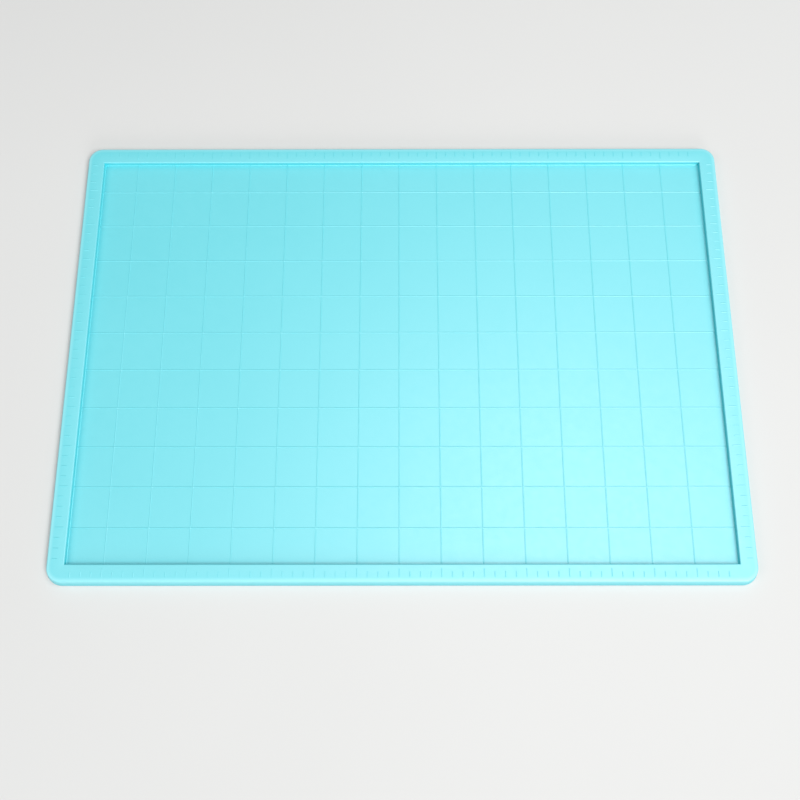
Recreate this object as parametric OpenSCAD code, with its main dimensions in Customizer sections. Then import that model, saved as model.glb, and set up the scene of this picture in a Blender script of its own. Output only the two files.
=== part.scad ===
// Shallow silicone casting tray: a thin flat sheet with a raised rim all round, a grid of
// fine raised ridges on the casting floor, and ruler marks along the top of the rim.
// The origin is the centre of the underside. +X runs to the right along the long side,
// +Y runs to the back and +Z is up. All lengths are in millimetres.

/* [Grid] */
// Side of one square cell of the grid, one inch
cell = 25.4; // [20:0.1:30]
// Ridges that run from front to back
column_ridges = 15; // [3:1:19]
// Ridges that run from left to right
row_ridges = 10; // [3:1:15]
// Width of the first and last column of cells, as a share of a whole cell
end_column = 0.965; // [0.5:0.005:1]
// Depth of the first and last row of cells, as a share of a whole cell
end_row = 0.85; // [0.5:0.005:1]
// How far the middle of the grid lies to the left of the tray's middle
grid_left = 1.7; // [-4:0.1:4]
// How far the middle of the grid lies behind the tray's middle
grid_back = 0.7; // [-4:0.1:4]
// Width of a ridge where it meets the floor
ridge_w = 1.0; // [0.6:0.1:2]
// Height of a ridge above the floor
ridge_h = 0.25; // [0.1:0.05:1]

/* [Sheet and rim] */
// Thickness of the sheet under the casting floor
sheet_t = 3; // [1.5:0.1:5]
// Height of the rim above the casting floor
rim_h = 3.2; // [2.5:0.1:8]
// Width of the flat top of the rim
rim_w = 9.7; // [8:0.1:16]
// Radius of the outer corners, around the flat top of the rim
corner_r = 8; // [5:0.5:15]
// Radius of the rounded edge between the rim's top and its outer side
edge_r = 1; // [0.4:0.1:2]
// How far the foot of the outer side stands out beyond the flat top
flare = 2.5; // [2:0.1:5]

/* [Ruler marks] */
// Marks in the length of one cell
marks_per_cell = 4; // [2:1:8]
// Length of the mark at each whole cell
long_mark = 5.2; // [3:0.1:6]
// Length of the marks between them
short_mark = 3.4; // [2:0.1:4]
// Width of a mark
mark_w = 0.8; // [0.4:0.1:1.2]
// Height of a mark above the rim
mark_h = 0.25; // [0.1:0.05:0.8]
// Distance from the flat top's outer edge to the outer end of the marks
mark_inset = 1.9; // [1:0.1:2.5]

/* [Hidden] */
$fn = 96;

sheet_colour = "#8ce8f2";
rim_colour = "#97eaf4";
relief_colour = "#7adfe9";

// Casting floor between the rims
floor_w = (column_ridges - 1 + 2 * end_column) * cell;
floor_d = (row_ridges - 1 + 2 * end_row) * cell;
tray_h = sheet_t + rim_h;

// Half sizes of the rim's flat top, and the centres that the corners turn about
top_x = floor_w / 2 + rim_w;
top_y = floor_d / 2 + rim_w;
turn_x = top_x - corner_r;
turn_y = top_y - corner_r;

// The outer side is a straight slope that runs into the rounded edge at this angle
edge_z = tray_h - edge_r;
slope_a = acos(edge_r / norm([flare, edge_z])) - atan2(edge_z, flare);
slope_top_u = corner_r + edge_r * cos(slope_a);
slope_top_z = edge_z + edge_r * sin(slope_a);
edge_steps = 5;

// Where the outer side stands at height z, measured out from a corner's centre
function slope_u(z) = corner_r + flare - (corner_r + flare - slope_top_u) * z / slope_top_z;

// The rounded edge, from the top of the slope to the flat top
rounded_edge = [
    for (i = [0:edge_steps])
        let (a = slope_a + (90 - slope_a) * i / edge_steps)
        [corner_r + edge_r * cos(a), edge_z + edge_r * sin(a)]
];

// Half sections through the outer part of the sheet and of the rim, out from a corner's centre
sheet_section = [[0, 0], [corner_r + flare, 0], [slope_u(sheet_t), sheet_t], [0, sheet_t]];
rim_section = concat([[0, sheet_t], [slope_u(sheet_t), sheet_t]], rounded_edge, [[0, tray_h]]);

// Centre of the grid, and the distances from it to its last ridges
grid_x = -grid_left;
grid_y = grid_back;
half_columns = (column_ridges - 1) / 2 * cell;
half_rows = (row_ridges - 1) / 2 * cell;

// A straight side of length 2 * half_run, at a distance out from the tray's middle
module straight_side(section, half_run, out) {
    translate([out, 0, 0])
        rotate([90, 0, 0])
            linear_extrude(2 * half_run, center = true) polygon(section);
}

// The whole rounded outline of the tray, with this section round its edge
module rounded_slab(section, low, high) {
    translate([-turn_x, -turn_y, low]) cube([2 * turn_x, 2 * turn_y, high - low]);
    for (turn = [0, 180]) {
        rotate([0, 0, turn]) straight_side(section, turn_y, turn_x);
        rotate([0, 0, turn + 90]) straight_side(section, turn_x, turn_y);
    }
    for (sx = [-1, 1], sy = [-1, 1]) {
        turn = sx > 0 ? (sy > 0 ? 0 : 270) : (sy > 0 ? 90 : 180);
        translate([sx * turn_x, sy * turn_y, 0])
            rotate([0, 0, turn]) rotate_extrude(angle = 90) polygon(section);
    }
}

// Everything on one side of the mitres at the corners: a wedge that widens out from the floor
module mitre_wedge(half_side, out) {
    reach = rim_w + flare + edge_r;
    rotate([0, 0, -90])
        linear_extrude(tray_h)
            polygon([
                [-half_side, out],
                [half_side, out],
                [half_side + reach, out + reach],
                [-half_side - reach, out + reach]
            ]);
}

// One bar of the rim, mitred at both ends, on the side that the turn points to
module rim_bar(turn, half_side, out) {
    color(rim_colour)
        intersection() {
            rounded_slab(rim_section, sheet_t, tray_h);
            rotate([0, 0, turn]) mitre_wedge(half_side, out);
        }
}

module base_sheet() {
    color(sheet_colour) rounded_slab(sheet_section, 0, sheet_t);
}

module rim_front() {
    rim_bar(-90, floor_w / 2, floor_d / 2);
}

module rim_back() {
    rim_bar(90, floor_w / 2, floor_d / 2);
}

module rim_left() {
    rim_bar(180, floor_d / 2, floor_w / 2);
}

module rim_right() {
    rim_bar(0, floor_d / 2, floor_w / 2);
}

// A raised line of this length along X, narrower at its top than at its foot
module ridge(run, width, height) {
    rotate([90, 0, 90])
        linear_extrude(run, center = true)
            polygon([
                [-width / 2, 0],
                [width / 2, 0],
                [width / 4, height],
                [-width / 4, height]
            ]);
}

module grid_ridges() {
    color(relief_colour)
        translate([0, 0, sheet_t]) {
            for (i = [0:column_ridges - 1])
                translate([grid_x - half_columns + i * cell, 0, 0])
                    rotate([0, 0, 90]) ridge(floor_d, ridge_w, ridge_h);
            for (j = [0:row_ridges - 1])
                translate([0, grid_y - half_rows + j * cell, 0])
                    ridge(floor_w, ridge_w, ridge_h);
        }
}

// Ruler marks along a side that runs along X, with their outer ends towards -Y.
// The side spans one cell more than it has ridges, and start is its first whole mark.
module ruler(ridges, start, outer_end) {
    color(relief_colour)
        for (k = [1:(ridges + 1) * marks_per_cell - 1]) {
            run = k % marks_per_cell == 0 ? long_mark : short_mark;
            translate([start + (k / marks_per_cell - 1) * cell, outer_end + run / 2, tray_h])
                rotate([0, 0, 90]) ridge(run, mark_w, mark_h);
        }
}

module ruler_front() {
    ruler(column_ridges, grid_x - half_columns, mark_inset - top_y);
}

module ruler_back() {
    rotate([0, 0, 180]) ruler(column_ridges, -grid_x - half_columns, mark_inset - top_y);
}

module ruler_left() {
    rotate([0, 0, -90]) ruler(row_ridges, -grid_y - half_rows, mark_inset - top_x);
}

module ruler_right() {
    rotate([0, 0, 90]) ruler(row_ridges, grid_y - half_rows, mark_inset - top_x);
}

base_sheet();
rim_front();
rim_back();
rim_left();
rim_right();
grid_ridges();
ruler_front();
ruler_back();
ruler_left();
ruler_right();
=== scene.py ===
"""The looks of a shallow silicone casting tray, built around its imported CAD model."""

import math

import bmesh
import bpy
from mathutils import Matrix, Vector, noise


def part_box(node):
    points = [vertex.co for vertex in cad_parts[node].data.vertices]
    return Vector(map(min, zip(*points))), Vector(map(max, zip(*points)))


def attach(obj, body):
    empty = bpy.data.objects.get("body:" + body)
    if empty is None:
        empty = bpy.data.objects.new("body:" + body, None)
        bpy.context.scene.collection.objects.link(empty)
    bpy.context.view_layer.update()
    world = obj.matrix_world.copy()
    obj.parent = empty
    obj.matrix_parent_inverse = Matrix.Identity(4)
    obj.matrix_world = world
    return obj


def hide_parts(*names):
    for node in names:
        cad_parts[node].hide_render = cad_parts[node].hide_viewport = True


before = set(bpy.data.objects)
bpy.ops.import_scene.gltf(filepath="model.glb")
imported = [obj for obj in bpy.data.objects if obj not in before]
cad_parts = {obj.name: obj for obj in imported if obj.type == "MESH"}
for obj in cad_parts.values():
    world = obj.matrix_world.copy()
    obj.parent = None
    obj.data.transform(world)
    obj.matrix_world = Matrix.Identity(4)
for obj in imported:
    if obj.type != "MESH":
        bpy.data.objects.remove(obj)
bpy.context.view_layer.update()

MM = 0.001

# ---------------------------------------------------------------- sizes, in metres

# Read from the frame. u is measured outwards from the rim's inner wall, and z upwards.
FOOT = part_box("base_sheet")[1]
INNER_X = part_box("rim_right")[0].x
INNER_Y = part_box("rim_back")[0].y
FLOOR_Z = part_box("base_sheet")[1].z
RIM_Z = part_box("rim_front")[1].z
RIDGE_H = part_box("grid_ridges")[1].z - FLOOR_Z
MARK_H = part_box("ruler_front")[1].z - RIM_Z
FOOT_U = FOOT.x - INNER_X

# The same design sizes as the CAD model
CELL = 25.4 * MM
COLUMN_RIDGES = 15
ROW_RIDGES = 10
GRID_CENTRE = Vector((-1.7 * MM, 0.7 * MM))
RIDGE_W = 1.0 * MM
RIM_W = 9.7 * MM
CORNER_R = 8 * MM
EDGE_R = 1.0 * MM
MARKS_PER_CELL = 4
LONG_MARK = 5.2 * MM
SHORT_MARK = 3.4 * MM
MARK_W = 0.8 * MM
MARK_INSET = 1.9 * MM

# Softness of the moulding, which the CAD model leaves out
INNER_EDGE_R = 0.7 * MM
FLOOR_FILLET = 0.6 * MM
FOOT_R = 0.4 * MM
CROWN_W = 2.5 * MM
CROWN_DROP = 0.10 * MM
CROWN_STEPS = 6
CROWN_END = 0.97        # where the crown gives way to the outer edge, as a share of its width
SHOULDER_IN = 0.15 * MM  # from the slope's top in to the corner that the outer edge rounds off

# Raised lines: the ridges on the floor and the ruler's marks
FLANK_W = 0.4 * MM      # width of a line's sloping flank
LINE_CROWN = 0.1        # how much lower a line's top is at its sides, as a share of its height
RIDGE_RISE = 0.75       # height of a ridge, as a share of the CAD model's
MARK_RISE = 0.7         # height of a mark, as a share of the CAD model's
SUNK = 0.05 * MM        # how deep a line's foot lies in the surface under it
RIDGE_STEPS = 12        # mesh steps across a ridge
BAND_STEP = 4.5 * MM    # longest mesh step along a ridge
WANDER = 0.1            # how much a ridge's height wanders, as a share of it
WANDER_REACH = 20 * MM
MARK_STEPS = 10         # mesh steps across a mark
MARK_END_STEPS = 5      # mesh steps round each rounded end of a mark
MARK_TIP = 0.15         # width of the very end of a mark, as a share of its width

# Painted highlight: the silicone is painted paler along its rounded outer edges, and a little
# along its inner top edges. The mesh says where, in an attribute of this name.
EDGE = "edge"
HIGHLIGHT_REACH = 1.8 * MM
INNER_HIGHLIGHT = 0.3

# The corner turns about a point this far out from the inner wall
TURN_U = RIM_W - CORNER_R
CORNER_STEPS = 10       # mesh steps from a mitre to the end of the corner


# ---------------------------------------------------------------- the outline in section

def slope_top():
    """Where the outer side's straight slope runs into its rounded upper edge, as (u, z)."""
    out, up = FOOT_U - RIM_W, RIM_Z - EDGE_R
    angle = math.acos(EDGE_R / math.hypot(out, up)) - math.atan2(up, out)
    return RIM_W + EDGE_R * math.cos(angle), up + EDGE_R * math.sin(angle)


def slope_u(z):
    """How far out the outer side stands at height z."""
    top_u, top_z = slope_top()
    return FOOT_U + (top_u - FOOT_U) * z / top_z


def soft_corner(start, corner, end, steps=6):
    """Points on a smooth curve from start to end that is tangent to both sides of a corner."""
    points = []
    for i in range(steps + 1):
        t = i / steps
        points.append(tuple(
            (1 - t) ** 2 * a + 2 * t * (1 - t) * b + t ** 2 * c
            for a, b, c in zip(start, corner, end)
        ))
    return points


def rim_profile():
    """The rim in section: fillet, inner wall, rounded edges, slightly crowned top, outer slope."""
    fillet = soft_corner(
        (-FLOOR_FILLET, FLOOR_Z), (0, FLOOR_Z), (0, FLOOR_Z + FLOOR_FILLET))
    inner_edge = soft_corner(
        (0, RIM_Z - INNER_EDGE_R), (0, RIM_Z), (INNER_EDGE_R, RIM_Z))
    crown = []
    for i in range(CROWN_STEPS + 1):
        t = i / CROWN_STEPS
        u = RIM_W - CROWN_W + CROWN_W * t * CROWN_END
        crown.append((u, RIM_Z - CROWN_DROP * t ** 2))
    top_u, top_z = slope_top()
    shoulder = (slope_u(top_z) - SHOULDER_IN, RIM_Z - CROWN_DROP)
    outer_edge = soft_corner(crown[-1], shoulder, (top_u, top_z))[1:]
    foot = [(slope_u(FLOOR_Z), FLOOR_Z)]
    return fillet + inner_edge + crown + outer_edge + foot


def sheet_profile():
    """The sheet's edge in section, from under the rim's inner wall, round the foot and back."""
    heel = slope_u(FOOT_R)
    return (
        [(0, FLOOR_Z), (slope_u(FLOOR_Z), FLOOR_Z)]
        + soft_corner((heel, FOOT_R), (FOOT_U, 0), (FOOT_U - FOOT_R, 0), 5)
        + [(0, 0)]
    )


# ---------------------------------------------------------------- the outline in plan

class Side:
    """One side of the tray: which way is out, how long it is, and how far out it lies."""

    def __init__(self, out, half_along, half_out, segments):
        self.out = Vector(out)
        self.along = Vector((-out[1], out[0]))
        self.half_along = half_along
        self.half_out = half_out
        self.segments = segments

    def stations(self):
        """(place along the straight, angle round the corner) from one mitre to the other."""
        bend = [math.radians(45) * i / CORNER_STEPS for i in range(CORNER_STEPS, 0, -1)]
        straight = [(2 * i / self.segments - 1, 0) for i in range(self.segments + 1)]
        return [(-1, -a) for a in bend] + straight + [(1, a) for a in reversed(bend)]

    def point(self, u, z, station):
        """A point this far out from the inner wall. Inside the corner's centre, it is square."""
        t, angle = station
        square = min(u, TURN_U)
        radius = max(u - TURN_U, 0)
        a = t * (self.half_along + square) + radius * math.sin(angle)
        o = self.half_out + square + radius * math.cos(angle)
        flat = self.along * a + self.out * o
        return Vector((flat.x, flat.y, z))


LONG_SEGMENTS = 2 * (COLUMN_RIDGES + 1)
SHORT_SEGMENTS = 2 * (ROW_RIDGES + 1)
SIDES = {
    "front": Side((0, -1), INNER_X, INNER_Y, LONG_SEGMENTS),
    "right": Side((1, 0), INNER_Y, INNER_X, SHORT_SEGMENTS),
    "back": Side((0, 1), INNER_X, INNER_Y, LONG_SEGMENTS),
    "left": Side((-1, 0), INNER_Y, INNER_X, SHORT_SEGMENTS),
}


# ---------------------------------------------------------------- mesh tools

WELD = 0.0005 * MM


def finish_piece(name, bm, material, smooth_below=40):
    """One object from a bmesh: welded, smooth below an angle in degrees, riding on the body."""
    bmesh.ops.remove_doubles(bm, verts=bm.verts, dist=WELD)
    bmesh.ops.dissolve_degenerate(bm, edges=bm.edges, dist=WELD)
    bmesh.ops.recalc_face_normals(bm, faces=bm.faces)
    mesh = bpy.data.meshes.new(name)
    bm.to_mesh(mesh)
    bm.free()
    mesh.polygons.foreach_set("use_smooth", [True] * len(mesh.polygons))
    mesh.set_sharp_from_angle(angle=math.radians(smooth_below))
    mesh.materials.append(material)
    piece = bpy.data.objects.new(name, mesh)
    bpy.context.scene.collection.objects.link(piece)
    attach(piece, "root")
    return piece


def painted_highlight(u, z):
    """How strong the painted highlight is, from 0 on a flat to 1 on an outer edge."""
    if u < RIM_W / 2:
        across = max(0, 1 - abs(u) / HIGHLIGHT_REACH)
        return INNER_HIGHLIGHT * across if z > RIM_Z - INNER_EDGE_R - CROWN_DROP else 0
    if z > RIM_Z - EDGE_R:
        return max(0, min(1, 1 - (RIM_W - u) / HIGHLIGHT_REACH))
    return max(0, 1 - (RIM_Z - EDGE_R - z) / HIGHLIGHT_REACH)


def skin(bm, rows, closed):
    """Faces between rows of points. A closed profile joins its last point to its first."""
    made = [[bm.verts.new(p) for p in row] for row in rows]
    for low, high in zip(made, made[1:]):
        count = len(low)
        for i in range(count if closed else count - 1):
            j = (i + 1) % count
            bm.faces.new((low[i], low[j], high[j], high[i]))
    return made


def sweep(bm, side, profile, capped):
    """Sweeps a profile along one side, from mitre to mitre."""
    # Each point keeps how much painted highlight it gets, for the silicone material to read
    edge = bm.verts.layers.float.get(EDGE) or bm.verts.layers.float.new(EDGE)
    rows = [[side.point(u, z, s) for u, z in profile] for s in side.stations()]
    made = skin(bm, rows, closed=capped)
    for row in made:
        for vertex, (u, z) in zip(row, profile):
            vertex[edge] = painted_highlight(u, z)
    if capped:
        bm.faces.new(made[0])
        bm.faces.new(list(reversed(made[-1])))


# ---------------------------------------------------------------- materials

def new_material(name):
    material = bpy.data.materials.new(name)
    material.use_nodes = True
    tree = material.node_tree
    tree.nodes.clear()
    return material, tree


def add(tree, kind, **settings):
    """A node of this kind, with inputs set by name and the rest as attributes."""
    node = tree.nodes.new(kind)
    for key, value in settings.items():
        if key in node.inputs:
            node.inputs[key].default_value = value
        else:
            setattr(node, key, value)
    return node


def noise_at(tree, coords, scale, detail=2.0, roughness=0.5):
    """A noise texture in object space; scale is in cycles a metre."""
    node = add(tree, "ShaderNodeTexNoise", Scale=scale, Detail=detail, Roughness=roughness)
    tree.links.new(coords, node.inputs["Vector"])
    return node.outputs["Fac"]


def ramp(tree, source, low, high, start=0):
    """Maps a value from start to 1 onto low to high."""
    node = add(tree, "ShaderNodeMapRange")
    node.inputs["From Min"].default_value = start
    node.inputs["To Min"].default_value = low
    node.inputs["To Max"].default_value = high
    tree.links.new(source, node.inputs["Value"])
    return node.outputs["Result"]


# The colour sockets of a Mix node have the same names as its number sockets, so they go by place
MIX_A, MIX_B, MIX_RESULT = 6, 7, 2


def mixed(tree, factor, a, b):
    """A colour between a and b, which may be sockets or colours."""
    node = add(tree, "ShaderNodeMix", data_type="RGBA")
    tree.links.new(factor, node.inputs["Factor"])
    for slot, value in ((MIX_A, a), (MIX_B, b)):
        if isinstance(value, tuple):
            node.inputs[slot].default_value = value
        else:
            tree.links.new(value, node.inputs[slot])
    return node.outputs[MIX_RESULT]


# Aqua silicone: its two tones on a flat, a darker painted shade for its creases, and a paler
# painted highlight for its edges
SILICONE_MID = (0.100, 0.605, 0.680, 1)
SILICONE_PALE = (0.120, 0.635, 0.710, 1)
SILICONE_PAINTED_SHADE = (0.010, 0.48, 0.56, 1)
RIM_PAINTED_SHADE = (0.010, 0.58, 0.66, 1)
SILICONE_PAINTED_HIGHLIGHT = (0.210, 0.70, 0.77, 1)

SILICONE_IOR = 2.3      # high for silicone, and gives the broad, strong sheen that the photo shows
CREASE_REACH = 5 * MM   # how near a wall the painted shade starts
CREASE_FULL = 0.45      # the share of open sky at which the painted shade is darkest

# Sizes of the noise, in cycles a metre
CLOUD_SCALE = 14
WAVE_SCALE = 22
MOTTLE_SCALE = 220
SPECKLE_SCALE = 1500

WAVE_DEPTH = 0.35 * MM
WAVE_STRENGTH = 0.35
GRAIN_DEPTH = 0.02 * MM


def silicone(name, roughness, grain, crease_shade):
    """Moulded silicone: cloudy colour, painted shade in the creases, painted highlights on its
    edges, fine grain and a soft wavy shine.
    """
    material, tree = new_material(name)
    coords = add(tree, "ShaderNodeTexCoord").outputs["Object"]
    cloud = noise_at(tree, coords, CLOUD_SCALE, 3)
    mottle = noise_at(tree, coords, MOTTLE_SCALE, 4, 0.6)
    speckle = noise_at(tree, coords, SPECKLE_SCALE, 2, 0.7)
    wave = noise_at(tree, coords, WAVE_SCALE, 2)

    base = mixed(tree, ramp(tree, cloud, 0.15, 0.85), SILICONE_MID, SILICONE_PALE)
    base = mixed(tree, ramp(tree, mottle, 0, 0.16), base, SILICONE_PALE)
    # Painted shade: near walls and at the feet of ridges the colour is darkened towards a deeper
    # teal, by how little open sky the ambient occlusion finds
    crease = add(tree, "ShaderNodeAmbientOcclusion", samples=8, Distance=CREASE_REACH)
    openness = ramp(tree, crease.outputs["AO"], 0, 1, start=CREASE_FULL)
    base = mixed(tree, openness, crease_shade, base)
    # Painted highlight: the edges that the mesh marks are painted paler
    edge = add(tree, "ShaderNodeAttribute", attribute_name=EDGE)
    base = mixed(tree, edge.outputs["Fac"], base, SILICONE_PAINTED_HIGHLIGHT)

    bump_wave = add(tree, "ShaderNodeBump", Strength=WAVE_STRENGTH, Distance=WAVE_DEPTH)
    tree.links.new(wave, bump_wave.inputs["Height"])
    bump_grain = add(tree, "ShaderNodeBump", Strength=grain, Distance=GRAIN_DEPTH)
    tree.links.new(speckle, bump_grain.inputs["Height"])
    tree.links.new(bump_wave.outputs["Normal"], bump_grain.inputs["Normal"])

    shader = add(tree, "ShaderNodeBsdfPrincipled")
    shader.inputs["IOR"].default_value = SILICONE_IOR
    tree.links.new(base, shader.inputs["Base Color"])
    tree.links.new(
        ramp(tree, mottle, roughness - 0.05, roughness + 0.07), shader.inputs["Roughness"])
    tree.links.new(bump_grain.outputs["Normal"], shader.inputs["Normal"])
    output = add(tree, "ShaderNodeOutputMaterial")
    tree.links.new(shader.outputs["BSDF"], output.inputs["Surface"])
    return material


TABLE_DULL = (0.62, 0.62, 0.61, 1)
TABLE_PALE = (0.66, 0.66, 0.65, 1)


def table_top(name):
    """A plain pale table, slightly uneven in tone so that it isn't one flat colour."""
    material, tree = new_material(name)
    coords = add(tree, "ShaderNodeTexCoord").outputs["Object"]
    tone = mixed(tree, noise_at(tree, coords, 3, 3), TABLE_DULL, TABLE_PALE)
    shader = add(tree, "ShaderNodeBsdfPrincipled", Roughness=0.7)
    tree.links.new(tone, shader.inputs["Base Color"])
    output = add(tree, "ShaderNodeOutputMaterial")
    tree.links.new(shader.outputs["BSDF"], output.inputs["Surface"])
    return material


floor_silicone = silicone("silicone_floor", 0.48, 0.35, SILICONE_PAINTED_SHADE)
rim_silicone = silicone("silicone_rim", 0.50, 0.45, RIM_PAINTED_SHADE)
relief_silicone = silicone("silicone_relief", 0.49, 0.25, SILICONE_PAINTED_SHADE)


# ---------------------------------------------------------------- pieces

def make_base_sheet():
    """The sheet: a flat casting floor, a sloping edge with a soft foot, and a flat underside."""
    bm = bmesh.new()
    xs = [INNER_X * (2 * i / LONG_SEGMENTS - 1) for i in range(LONG_SEGMENTS + 1)]
    ys = [INNER_Y * (2 * j / SHORT_SEGMENTS - 1) for j in range(SHORT_SEGMENTS + 1)]
    for z in (FLOOR_Z, 0):
        skin(bm, [[Vector((x, y, z)) for x in xs] for y in ys], closed=False)
    for side in SIDES.values():
        sweep(bm, side, sheet_profile(), capped=False)
    piece = finish_piece("base_sheet_moulded", bm, floor_silicone)
    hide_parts("base_sheet")


def make_rim(side_name):
    """One side of the rim, closed by a mitre at each end that meets its neighbour's."""
    bm = bmesh.new()
    sweep(bm, SIDES[side_name], rim_profile(), capped=True)
    piece = finish_piece("rim_%s_moulded" % side_name, bm, rim_silicone)
    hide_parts("rim_" + side_name)


def line_height(distance, half_width):
    """Height across a raised line, from 1 along its middle down gentle flanks to 0 at its foot."""
    t = max(0, min(1, (half_width - abs(distance)) / FLANK_W))
    return t * t * (3 - 2 * t) * (1 - LINE_CROWN * (distance / half_width) ** 2)


def ridge_centres(count, centre):
    """Where the ridges' middles lie along one axis."""
    return [centre + (i - (count - 1) / 2) * CELL for i in range(count)]


def band_lines(centres, reach):
    """Places of mesh lines along one axis: close together across each ridge, wider between."""
    lines = {-reach, reach}
    for c in centres:
        lines.update(c + RIDGE_W / 2 * (2 * k / RIDGE_STEPS - 1) for k in range(RIDGE_STEPS + 1))
    marks = sorted(lines)
    for a, b in zip(marks, marks[1:]):
        extra = int((b - a) / BAND_STEP)
        lines.update(a + (b - a) * k / (extra + 1) for k in range(1, extra + 1))
    return sorted(lines)


def nearest(value, centres):
    """How far a place is from the nearest ridge's middle."""
    return min(abs(value - c) for c in centres)


def make_grid():
    """The lattice of rounded ridges, as one closed mesh whose height wanders a little."""
    column_x = ridge_centres(COLUMN_RIDGES, GRID_CENTRE.x)
    row_y = ridge_centres(ROW_RIDGES, GRID_CENTRE.y)
    xs = band_lines(column_x, INNER_X)
    ys = band_lines(row_y, INNER_Y)
    half = RIDGE_W / 2
    bm = bmesh.new()
    tops, feet = {}, {}

    def vertex(store, i, j, z):
        if (i, j) not in store:
            store[i, j] = bm.verts.new((xs[i], ys[j], z))
        return store[i, j]

    def height(i, j):
        a = line_height(nearest(xs[i], column_x), half)
        b = line_height(nearest(ys[j], row_y), half)
        crossed = 1 - (1 - a) * (1 - b)
        wander = 1 - WANDER + WANDER * noise.noise(Vector((xs[i], ys[j], 0)) / WANDER_REACH)
        return FLOOR_Z - SUNK + (RIDGE_RISE * RIDGE_H + SUNK) * wander * crossed

    in_column = [nearest((a + b) / 2, column_x) < half for a, b in zip(xs, xs[1:])]
    in_row = [nearest((a + b) / 2, row_y) < half for a, b in zip(ys, ys[1:])]
    cells = {
        (i, j)
        for i in range(len(in_column)) for j in range(len(in_row))
        if in_column[i] or in_row[j]
    }
    base = FLOOR_Z - 2 * SUNK
    for i, j in cells:
        ring = [(i, j), (i + 1, j), (i + 1, j + 1), (i, j + 1)]
        bm.faces.new([vertex(tops, a, b, height(a, b)) for a, b in ring])
        bm.faces.new([vertex(feet, a, b, base) for a, b in reversed(ring)])
        beyond = [(i, j - 1), (i + 1, j), (i, j + 1), (i - 1, j)]
        for k in range(4):
            if beyond[k] not in cells:
                p, q = ring[k], ring[(k + 1) % 4]
                bm.faces.new((tops[q], tops[p], feet[p], feet[q]))
    piece = finish_piece("grid_ridges_moulded", bm, relief_silicone, 60)
    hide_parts("grid_ridges")


def mark(bm, start, along, across, length):
    """One raised mark: a rounded line with rounded ends, a little sunk into the rim."""
    half = MARK_W / 2
    stations = []
    for k in range(MARK_END_STEPS + 1):
        angle = math.radians(90) * k / MARK_END_STEPS
        stations.append((half * (1 - math.cos(angle)), max(math.sin(angle), MARK_TIP)))
    stations += [(length - s, w) for s, w in reversed(stations)]
    rows = []
    for s, width in stations:
        end = half - half * width
        row = []
        for k in range(MARK_STEPS + 1):
            side = half * width * (1 - 2 * k / MARK_STEPS)
            rise = line_height(math.hypot(side, end), half) * MARK_RISE * MARK_H
            place = start + along * s + across * side
            row.append(place + Vector((0, 0, rise - SUNK / 2)))
        row += [point - Vector((0, 0, SUNK)) for point in (row[-1], row[0])]
        rows.append(row)
    made = skin(bm, rows, closed=True)
    bm.faces.new(made[0])
    bm.faces.new(list(reversed(made[-1])))


def make_ruler(side_name, axis, cells):
    """The marks on one bar of the rim, between the first and last that the frame holds."""
    side = SIDES[side_name]
    low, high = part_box("ruler_" + side_name)
    first = low[axis] + MARK_W / 2
    last = high[axis] - MARK_W / 2
    count = cells * MARKS_PER_CELL - 1
    outer_end = side.half_out + RIM_W - MARK_INSET
    run = Vector((1, 0, 0)) if axis == 0 else Vector((0, 1, 0))
    inward = -side.out.to_3d()
    bm = bmesh.new()
    for k in range(count):
        whole = (k + 1) % MARKS_PER_CELL == 0
        place = run * (first + (last - first) * k / (count - 1))
        start = place - inward * outer_end + Vector((0, 0, RIM_Z))
        mark(bm, start, inward, run, LONG_MARK if whole else SHORT_MARK)
    piece = finish_piece("ruler_%s_moulded" % side_name, bm, relief_silicone, 75)
    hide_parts("ruler_" + side_name)


make_base_sheet()
for name in SIDES:
    make_rim(name)
make_grid()
make_ruler("front", 0, COLUMN_RIDGES + 1)
make_ruler("back", 0, COLUMN_RIDGES + 1)
make_ruler("left", 1, ROW_RIDGES + 1)
make_ruler("right", 1, ROW_RIDGES + 1)


# ---------------------------------------------------------------- stage, light and camera

TABLE_HALF = 4.0        # half of the table's side, in metres
TABLE_GAP = 0.02 * MM   # how far it lies below the tray, so that the two don't coincide
BACKDROP = 0.62         # how bright the world looks from the camera; it lights nothing


def make_table():
    """The plain floor that the tray lies on."""
    mesh = bpy.data.meshes.new("table")
    signs = ((-1, -1), (1, -1), (1, 1), (-1, 1))
    corners = [(x * TABLE_HALF, y * TABLE_HALF, 0) for x, y in signs]
    mesh.from_pydata(corners, [], [(0, 1, 2, 3)])
    mesh.materials.append(table_top("pale_table"))
    table = bpy.data.objects.new("table", mesh)
    table.location.z = -TABLE_GAP
    bpy.context.scene.collection.objects.link(table)


def soft_light(name, place, aim, size, watts):
    """A round white area light at one point, facing another."""
    data = bpy.data.lights.new(name, "AREA")
    data.shape = "DISK"
    data.size = size
    data.energy = watts
    lamp = bpy.data.objects.new(name, data)
    lamp.location = Vector(place)
    lamp.rotation_mode = "QUATERNION"
    lamp.rotation_quaternion = (Vector(aim) - Vector(place)).to_track_quat("-Z", "Y")
    bpy.context.scene.collection.objects.link(lamp)


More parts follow.
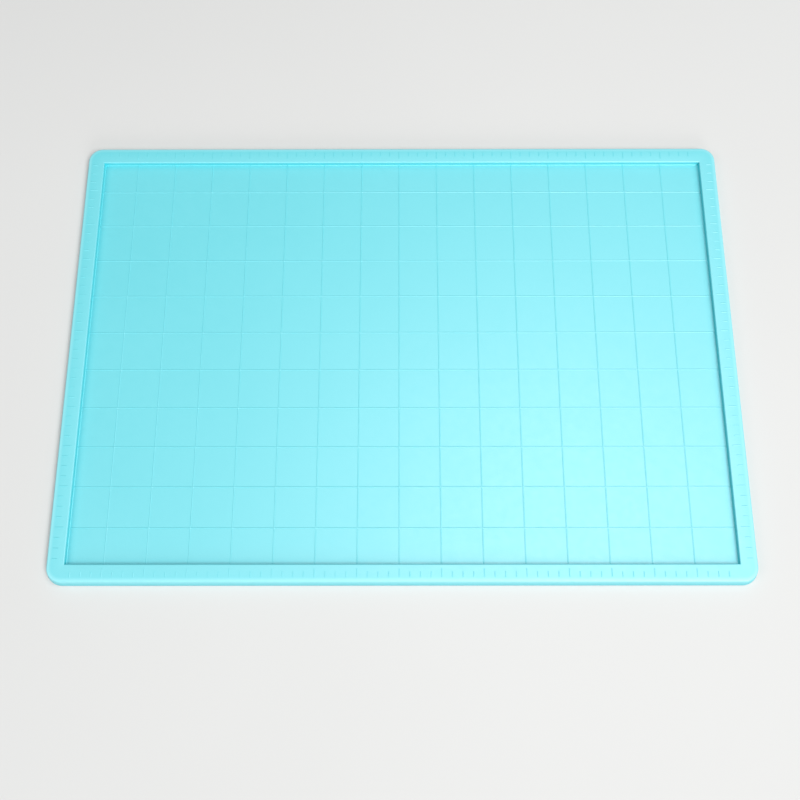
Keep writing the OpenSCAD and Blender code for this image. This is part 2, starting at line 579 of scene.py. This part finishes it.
def make_world(strength):
    """Even light from all round, at this strength, and a pale backdrop behind the table."""
    world = bpy.data.worlds.new("studio")
    world.use_nodes = True
    tree = world.node_tree
    background = tree.nodes["Background"]
    background.inputs["Color"].default_value = (0.95, 0.98, 1, 1)
    seen = add(tree, "ShaderNodeLightPath").outputs["Is Camera Ray"]
    tree.links.new(ramp(tree, seen, strength, BACKDROP), background.inputs["Strength"])
    bpy.context.scene.world = world


# The photo's camera, fitted to the grid lines and the outline of the tray
CAMERA_PLACE = Vector((-0.0001, -0.2141, RIM_Z + 0.5862))
CAMERA_DOWN = math.radians(72.85)
CAMERA_TURN = math.radians(-0.338)
CAMERA_ROLL = math.radians(-0.382)
CAMERA_LENS = 43.875    # in millimetres, for a sensor 36 mm wide
CAMERA_SENSOR = 36


def make_camera():
    """Looks down at the tray from the front, a little less than straight down."""
    down, turn, roll = CAMERA_DOWN, CAMERA_TURN, CAMERA_ROLL
    forward = Vector((
        math.sin(turn) * math.cos(down), math.cos(turn) * math.cos(down), -math.sin(down)))
    level = Vector((math.cos(turn), -math.sin(turn), 0))
    upright = level.cross(forward)
    right = level * math.cos(roll) + upright * math.sin(roll)
    up = upright * math.cos(roll) - level * math.sin(roll)
    data = bpy.data.cameras.new("camera")
    data.sensor_width = CAMERA_SENSOR
    data.lens = CAMERA_LENS
    camera = bpy.data.objects.new("camera", data)
    camera.matrix_world = Matrix.Translation(CAMERA_PLACE) @ Matrix((
        (right.x, up.x, -forward.x, 0),
        (right.y, up.y, -forward.y, 0),
        (right.z, up.z, -forward.z, 0),
        (0, 0, 0, 1),
    ))
    bpy.context.scene.collection.objects.link(camera)
    bpy.context.scene.camera = camera


make_table()
make_world(0.24)
soft_light("overhead", (0.33, 0.05, 1.25), (0.1, 0, 0), 0.9, 8.5)
soft_light("key", (2.0, -2.2, 3.6), (0, 0, 0), 2.2, 125)
soft_light("front", (1.2, -5.2, 1.8), (0, 0, 0), 2.4, 80)
soft_light("left", (-1.1, -0.4, 1.2), (-0.1, 0, 0), 0.8, 5)
make_camera()
bpy.context.scene.view_settings.view_transform = "Standard"
